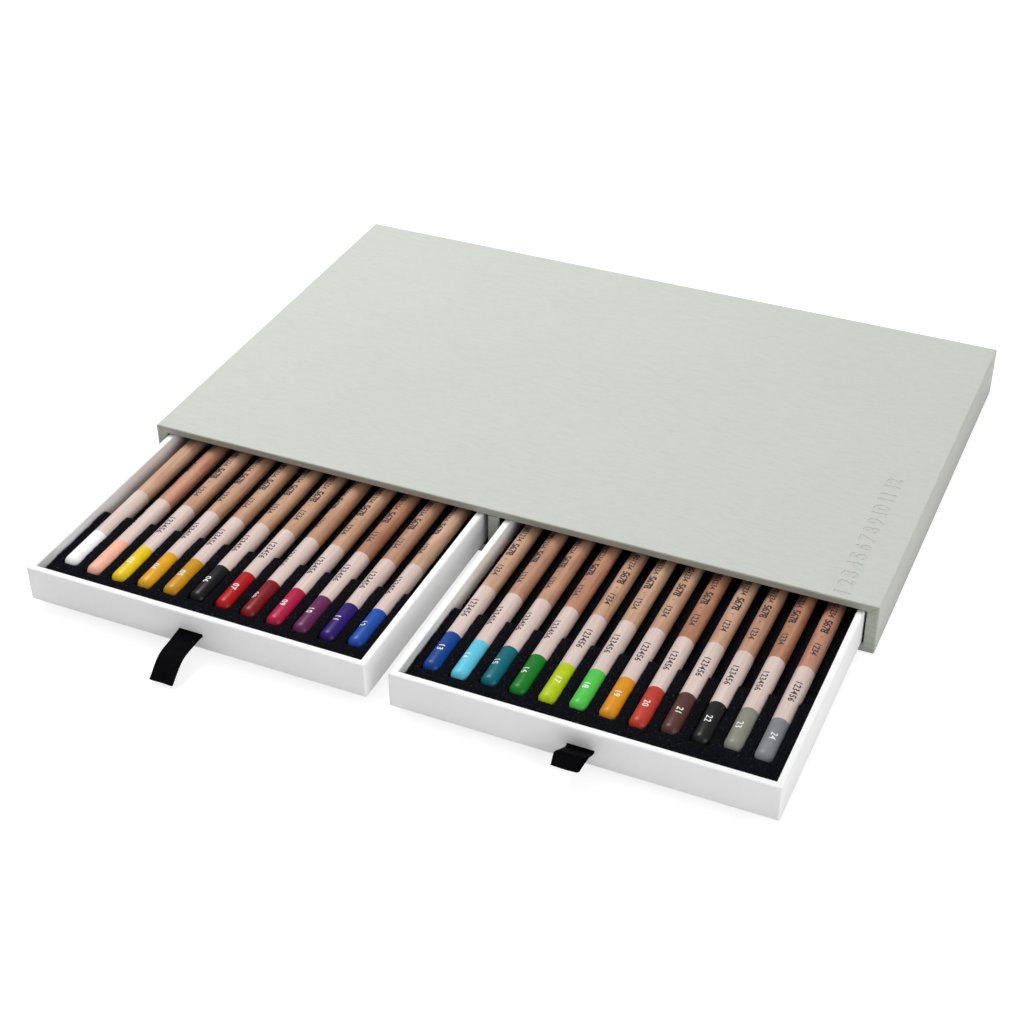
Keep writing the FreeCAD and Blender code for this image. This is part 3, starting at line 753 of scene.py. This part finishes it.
def rounded_moves(corners, radii):
    """Straight moves and arcs along a line of corners, each rounded by its radius."""
    steps = [Vector(there) - Vector(here) for here, there in zip(corners, corners[1:])]
    turns = [math.atan2(one.cross(other), one.dot(other)) for one, other in zip(steps, steps[1:])]
    used = [radius * math.tan(abs(turn) / 2) for radius, turn in zip(radii, turns)]
    moves = []
    for number, step in enumerate(steps):
        before = used[number - 1] if number else 0
        after = used[number] if number < len(used) else 0
        moves.append(("line", step.length - before - after, 0))
        if number < len(used):
            moves.append(("arc", radii[number], math.degrees(turns[number])))
    return moves


def ribbon_moves(side):
    """The way of each ribbon outside its slot: a tab pressed flat, and a loop creased twice that leans out."""
    return TAB_MOVES if side == "left" else rounded_moves(LOOP_CORNERS, LOOP_BENDS)


def ribbon_line(side):
    """The ribbon's middle line as (y, z, turn) spots in the drawer's own place, and its length."""
    moves = [("line", TAIL_LONG, 0), ("arc", TAIL_BEND, -90), ("line", THROUGH_WALL, 0), *ribbon_moves(side),
             ("line", THROUGH_WALL, 0), ("arc", TAIL_BEND, -90), ("line", TAIL_LONG, 0)]
    y, z, turn = BEHIND_WALL, LAYER_HALF + TAIL_BEND + TAIL_LONG, math.radians(-90)
    spots, length = [(y, z, turn)], 0
    for kind, amount, angle in moves:
        if kind == "line":
            count = max(1, round(amount / LINE_STEP))
            for step in range(count):
                y += amount / count * math.cos(turn)
                z += amount / count * math.sin(turn)
                spots.append((y, z, turn))
            length += amount
            continue
        whole = math.radians(angle)
        count = max(2, round(abs(angle) / ARC_STEP))
        arm = math.copysign(amount, whole)
        middle_y, middle_z = y - arm * math.sin(turn), z + arm * math.cos(turn)
        for step in range(count):
            turn += whole / count
            y, z = middle_y + arm * math.sin(turn), middle_z - arm * math.cos(turn)
            spots.append((y, z, turn))
        length += amount * abs(whole)
    return spots, length


def ribbon_piece(side):
    """A woven strip along the ribbon's way; its two layers drift apart a little where it stands free."""
    node = f"{side}_pull_ribbon"
    drawer_low, drawer_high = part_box(f"{side}_drawer_cover_paper")
    low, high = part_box(node)
    middle_z = (drawer_low.z + drawer_high.z) / 2 - RIBBON_DROP
    spots, length = ribbon_line(side)
    half, columns = RIBBON_WIDE / 2, RIBBON_COLUMNS
    free = [number for number, (y, z, turn) in enumerate(spots) if y < 0]
    first, last = free[0], free[-1]
    rings = []
    for number, (y, z, turn) in enumerate(spots):
        share = min(max((number - first) / (last - first), 0), 1)
        out = math.sin(math.pi * share)
        drift = RIBBON_SKEW[side] * math.sin(2 * math.pi * share) + RIBBON_DRIFT[side] * out
        points = []
        for face, order in ((1, range(columns + 1)), (-1, range(columns, -1, -1))):
            for column in order:
                across = column / columns * 2 - 1
                thick = RIBBON_THICK / 2 * (SELVEDGE_SHARE if abs(across) == 1 else 1)
                spot = Vector(((low.x + high.x) / 2 + half * across + drift, drawer_low.y + y * MM,
                               middle_z + z * MM))
                lift = face * thick + noise.noise(spot / RIPPLE_WIDE) * RIPPLE * out
                points.append(spot + Vector((0, -math.sin(turn), math.cos(turn))) * lift)
        rings.append(points)
    mesh = mesh_of(f"{node}_woven", *loft(rings, False))
    woven = mesh.uv_layers.new(name="weave")
    count = len(rings[0])
    for loop in mesh.loops:
        row, column = divmod(loop.vertex_index, count)
        woven.data[loop.index].uv = (column / count, row / len(rings) * length / WEAVE_LONG)
    piece = shown(f"{node}_woven", shaded(mesh, 60), f"{side}_drawer", [RIBBON], node)


# The pencils: places along them are measured from the front end

PENCIL_LONG = 176 * MM
SHARPENED = 19 * MM
END_ROUND = 3.7 * MM
END_CAP = 0.8 * MM
DIP_END = 22.8 * MM
BAND_END = 55.5 * MM
COAT = 0.03 * MM
BORE = 2.35 * MM
CORE_RADIUS = 2.3 * MM
POINT_RADIUS = 0.4 * MM
DIP_SHOULDER = 4 * COAT
BAND_SHOULDER = 2 * COAT
WOOD_UNDER = 1.6 * COAT
END_STEPS = 8
POINT_STEPS = 6
PRINT_LIFT = 0.025 * MM
PRINT_SLICE = 0.4 * MM
BOLD = 0.09 * MM

# The materials of a casing, in their order
DIP, BAND, WOOD, BARE, WHITE, DARK, HEAVY = range(7)

# Each print: name, text (the dip has the pencil's own number), height, place from the front end, how far it
# lies under the dip's surface, ink, and then the letters' softening, spacing and added weight
PRINTS = (
    ("dip_number", None, 2.7 * MM, 12.3 * MM, 0, WHITE, (0, 1.12, 0.05 * MM)),
    ("band_number", "123456", 2.8 * MM, 39.5 * MM, COAT, DARK, (0, 1.12, BOLD)),
    ("wood_number", "1234", 2.8 * MM, 67.1 * MM, WOOD_UNDER, DARK, (0, 1.06, BOLD)),
    ("wood_dot", "0", 1.0 * MM, 75.3 * MM, WOOD_UNDER, DARK, (0, 1, 0)),
    ("wood_heavy", "5678", 3.3 * MM, 82.6 * MM, WOOD_UNDER, HEAVY, (0.12 * MM, 0.95, 0)),
    ("wood_row", "901234", 2.5 * MM, 94.2 * MM, WOOD_UNDER, DARK, (0, 1.05, BOLD)),
)

# From left to right, the colours of the dips, and how many degrees each print is turned from the top
DIP_COLOURS = {
    "left": ((250, 250, 249), (244, 180, 154), (232, 198, 22), (222, 160, 24), (198, 142, 22), (12, 12, 14),
             (172, 8, 14), (124, 12, 22), (174, 20, 66), (98, 34, 82), (44, 18, 106), (26, 77, 168)),
    "right": ((6, 64, 140), (96, 198, 224), (0, 100, 114), (16, 120, 32), (180, 202, 20), (82, 196, 78),
              (220, 144, 24), (188, 60, 46), (88, 52, 48), (26, 25, 26), (136, 136, 124), (130, 132, 138)),
}
ROLLS = {
    "left": (180, -45, -7, -14, -9, -13, 0, -34, -12, -11, -10, -26),
    "right": (-6, -23, -23, -19, 7, -8, 0, -4, 5, -4, -13, 8),
}


def lathe(profile, spot, segments=64):
    """A round piece that runs to the back from a spot, by (way, radius) pairs, and the band of each face."""
    points, rows, faces, bands = [], [], [], []
    for way, radius in profile:
        if radius == 0:
            rows.append([len(points)])
            points.append(spot + Vector((0, way, 0)))
            continue
        rows.append(list(range(len(points), len(points) + segments)))
        for segment in range(segments):
            angle = 2 * math.pi * segment / segments
            points.append(spot + Vector((radius * math.sin(angle), way, radius * math.cos(angle))))
    for band, (here, there) in enumerate(zip(rows, rows[1:])):
        for segment in range(segments):
            after = (segment + 1) % segments
            if len(here) == 1:
                faces.append((here[0], there[segment], there[after]))
            elif len(there) == 1:
                faces.append((here[segment], there[0], here[after]))
            else:
                faces.append((here[segment], there[segment], there[after], here[after]))
            bands.append(band)
    return points, faces, bands


def wrapped(mesh, spot, radius, way, roll):
    """A flat closed shape laid round a pencil: its +X runs to the front end and its +Y round the barrel."""
    work = bmesh.new()
    work.from_mesh(mesh)
    reach = max(abs(vert.co.y) for vert in work.verts)
    cuts = max(1, math.ceil(2 * reach / PRINT_SLICE))
    for cut in range(1, cuts):
        level = -reach + 2 * reach * cut / cuts
        bmesh.ops.bisect_plane(work, geom=[*work.verts, *work.edges, *work.faces], plane_co=(0, level, 0),
                               plane_no=(0, 1, 0), dist=WELD / 10)
    work.verts.index_update()
    points = []
    for vert in work.verts:
        angle = math.radians(roll) + vert.co.y / radius
        out = radius + vert.co.z
        points.append(spot + Vector((out * math.sin(angle), way - vert.co.x, out * math.cos(angle))))
    faces = [tuple(vert.index for vert in face.verts) for face in work.faces]
    work.free()
    return points, faces


def casing_ends(radius):
    """How far from the front end the barrel ends, and where the cut cone of wood reaches the core."""
    barrel_end = PENCIL_LONG - SHARPENED
    return barrel_end, barrel_end + SHARPENED * (radius - BORE) / (radius - POINT_RADIUS)


def casing_profile(radius):
    """The casing's profile, and the number of the material for each band of it."""
    profile = [(0, 0)]
    for step in range(END_STEPS + 1):
        angle = math.pi / 2 * step / END_STEPS
        profile.append((END_ROUND * (1 - math.cos(angle)), radius - END_ROUND * (1 - math.sin(angle))))
    parts = [DIP] * (END_STEPS + 1)
    barrel_end, cone_end = casing_ends(radius)
    for way, under, part in ((DIP_END - DIP_SHOULDER, 0, DIP), (DIP_END, COAT, DIP),
                             (BAND_END - BAND_SHOULDER, COAT, BAND), (BAND_END, WOOD_UNDER, BAND),
                             (barrel_end, WOOD_UNDER, WOOD)):
        profile.append((way, radius - under))
        parts.append(part)
    profile.extend([(cone_end, BORE), (END_CAP, BORE), (END_CAP, 0)])
    parts.extend([BARE, BARE, BARE])
    return profile, parts


def pencil_casing(side, number, count, spot, radius, dip_material):
    """The casing with its dip and band, and the prints laid round it."""
    profile, parts = casing_profile(radius)
    points, faces, bands = lathe(profile, spot)
    indexes = [parts[band] for band in bands]
    for name, text, tall, way, under, ink, look in PRINTS:
        mesh = letters(name, text or f"{count:02d}", tall, PRINT_LIFT, *look)
        new_points, new_faces = wrapped(mesh, spot, radius - under, way, ROLLS[side][number])
        start = len(points)
        points.extend(new_points)
        faces.extend(tuple(start + index for index in face) for face in new_faces)
        indexes.extend([ink] * len(new_faces))
        bpy.data.meshes.remove(mesh)

    node = f"{side}_pencil_{number + 1:02d}"
    mesh = mesh_of(f"{node}_casing", points, faces)
    mesh.polygons.foreach_set("material_index", indexes)
    materials = [dip_material, BAND_PAINT, CEDARS[rng.randrange(len(CEDARS))], BARE_CEDAR,
                 WHITE_INK, DARK_INK, HEAVY_INK]
    shown(f"{node}_casing", shaded(mesh, 40), f"{side}_drawer", materials, node)


def pencil_core(side, number, count, spot, radius, colour):
    """The core, from its closed front end to its rounded point."""
    tip = [(PENCIL_LONG - POINT_RADIUS * (1 - math.cos(angle)), POINT_RADIUS * math.sin(angle))
           for angle in (math.pi / 2 * step / POINT_STEPS for step in range(POINT_STEPS, -1, -1))]
    profile = [(END_CAP, 0), (END_CAP, CORE_RADIUS), (casing_ends(radius)[1], CORE_RADIUS), *tip]
    points, faces, _ = lathe(profile, spot)
    name = f"{side}_core_{number + 1:02d}"
    shown(name, shaded(mesh_of(name, points, faces), 40), f"{side}_drawer",
          [pastel(f"pastel {count}", colour)], f"{side}_pencil_cores")


def pencil(side, number, count):
    """A pencil's casing, and its core as a piece of its own."""
    low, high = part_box(f"{side}_pencil_{number + 1:02d}")
    radius = (high.x - low.x) / 2
    spot = Vector(((low.x + high.x) / 2, low.y, (low.z + high.z) / 2))
    colour = srgb(*DIP_COLOURS[side][number])
    pencil_casing(side, number, count, spot, radius, dip_paint(f"dip {count}", colour))
    pencil_core(side, number, count, spot, radius, colour)


# The studio: the floor, the sky, and the lamps by name, place, size across and power

FLOOR_WHITE = 0.92
FLOOR_GLOW = 1.5
GLOW_SHARE = 0.5
FLOOR_HALF = 1.2
FLOOR_UNDER = 0.3 * MM
SKY_AT_HORIZON = 0.10
SKY_OVERHEAD = 0.55
LAMPS_AIM = (0, -60 * MM, 0)
LAMPS = (
    ("key", (-0.55, 0.3, 1.2), 0.8, 15.3),
    ("fill", (1.3, -0.75, 0.5), 1.2, 9.6),
)


def studio_floor():
    """A white floor, which the camera sees a little brighter than it is lit, and which keeps a soft shadow."""
    material = bpy.data.materials.new("studio floor")
    material.use_nodes = True
    tree = material.node_tree
    tree.nodes.clear()
    out = tree.nodes.new("ShaderNodeOutputMaterial")
    paint = tree.nodes.new("ShaderNodeBsdfDiffuse")
    paint.inputs["Color"].default_value = grey(FLOOR_WHITE)
    glow = tree.nodes.new("ShaderNodeEmission")
    glow.inputs["Color"].default_value = grey(1.0)
    glow.inputs["Strength"].default_value = FLOOR_GLOW
    seen = tree.nodes.new("ShaderNodeLightPath")
    share = tree.nodes.new("ShaderNodeMath")
    share.operation = "MULTIPLY"
    share.inputs[1].default_value = GLOW_SHARE
    both = tree.nodes.new("ShaderNodeMixShader")
    tree.links.new(seen.outputs["Is Camera Ray"], share.inputs[0])
    tree.links.new(share.outputs["Value"], both.inputs[0])
    tree.links.new(paint.outputs["BSDF"], both.inputs[1])
    tree.links.new(glow.outputs["Emission"], both.inputs[2])
    tree.links.new(both.outputs["Shader"], out.inputs["Surface"])
    corners = [(x * FLOOR_HALF, y * FLOOR_HALF, -FLOOR_UNDER) for x, y in ((-1, -1), (1, -1), (1, 1), (-1, 1))]
    floor = object_of("studio_floor", mesh_of("studio_floor", corners, [(0, 1, 2, 3)]))
    floor.data.materials.append(material)


def studio_sky():
    """A sky that is brighter overhead, and plain white where the camera looks past the floor."""
    world = bpy.data.worlds.new("studio")
    bpy.context.scene.world = world
    world.use_nodes = True
    tree = world.node_tree
    sky = tree.nodes["Background"]
    sky.inputs["Color"].default_value = grey(1.0)
    way = tree.nodes.new("ShaderNodeTexCoord")
    height = tree.nodes.new("ShaderNodeSeparateXYZ")
    level = tree.nodes.new("ShaderNodeMapRange")
    level.inputs["To Min"].default_value = SKY_AT_HORIZON
    level.inputs["To Max"].default_value = SKY_OVERHEAD
    tree.links.new(way.outputs["Generated"], height.inputs["Vector"])
    tree.links.new(height.outputs["Z"], level.inputs["Value"])
    tree.links.new(level.outputs["Result"], sky.inputs["Strength"])
    backdrop = tree.nodes.new("ShaderNodeBackground")
    backdrop.inputs["Color"].default_value = grey(1.0)
    backdrop.inputs["Strength"].default_value = 1.0
    seen = tree.nodes.new("ShaderNodeLightPath")
    both = tree.nodes.new("ShaderNodeMixShader")
    tree.links.new(seen.outputs["Is Camera Ray"], both.inputs[0])
    tree.links.new(sky.outputs["Background"], both.inputs[1])
    tree.links.new(backdrop.outputs["Background"], both.inputs[2])
    tree.links.new(both.outputs["Shader"], tree.nodes["World Output"].inputs["Surface"])


def studio_lamps():
    """One large soft lamp from above and one from the right."""
    for name, spot, size, energy in LAMPS:
        light = bpy.data.lights.new(name, "AREA")
        light.shape = "DISK"
        light.size = size
        light.energy = energy
        lamp = object_of(name, light)
        lamp.location = spot
        lamp.rotation_euler = (Vector(LAMPS_AIM) - Vector(spot)).to_track_quat("-Z", "Y").to_euler()


def camera():
    """The camera that took the photograph."""
    data = bpy.data.cameras.new("camera")
    data.lens = CAMERA_LENS
    data.sensor_width = CAMERA_SENSOR
    data.clip_start, data.clip_end = CAMERA_REACH
    eye = object_of("camera", data)
    eye.matrix_world = (Matrix.Translation(CAMERA_SPOT)
                        @ Matrix.Rotation(math.radians(CAMERA_AZIMUTH), 4, "Z")
                        @ Matrix.Rotation(math.radians(90 - CAMERA_DOWN), 4, "X")
                        @ Matrix.Rotation(math.radians(CAMERA_ROLL), 4, "Z"))
    bpy.context.scene.camera = eye


# The materials that pieces share

CEDAR_COLOURS = (
    ((158, 110, 84), (208, 164, 136)), ((166, 120, 92), (214, 174, 144)), ((150, 98, 72), (200, 148, 118)),
    ((172, 128, 100), (218, 182, 154)), ((160, 104, 80), (208, 156, 130)),
)

SLEEVE_PAPER = sleeve_paper()
SHADED_EDGE_PAPER = edge_paper()
DRAWER_PAPER = drawer_paper()
SHADED_LINING_PAPER = lining_paper()
FOAM = foam_material()
RIBBON = ribbon_material()
BAND_PAINT = band_paint()
BARE_CEDAR = cedar("bare cedar", False, srgb(188, 140, 104), srgb(222, 180, 142))
CEDARS = [cedar(f"cedar {number}", True, srgb(*dark), srgb(*light))
          for number, (dark, light) in enumerate(CEDAR_COLOURS)]
WHITE_INK = print_ink("white ink", srgb(238, 238, 236))
DARK_INK = print_ink("dark ink", srgb(32, 35, 50))
HEAVY_INK = print_ink("heavy ink", srgb(18, 20, 34))

# The boards, liners and base sheets stay as they come with the frame, in plain colours
sleeve_wrap()
divider_wrap()
for number, side in enumerate(SIDES):
    drawer_wrap(side)
    for part, cell, deep in FOAM_PIECES:
        foam_piece(side, part, cell, deep)
    ribbon_piece(side)
    for place in range(PENCILS):
        pencil(side, place, number * PENCILS + place + 1)

studio_floor()
studio_sky()
studio_lamps()
camera()
bpy.context.scene.view_settings.view_transform = "Standard"
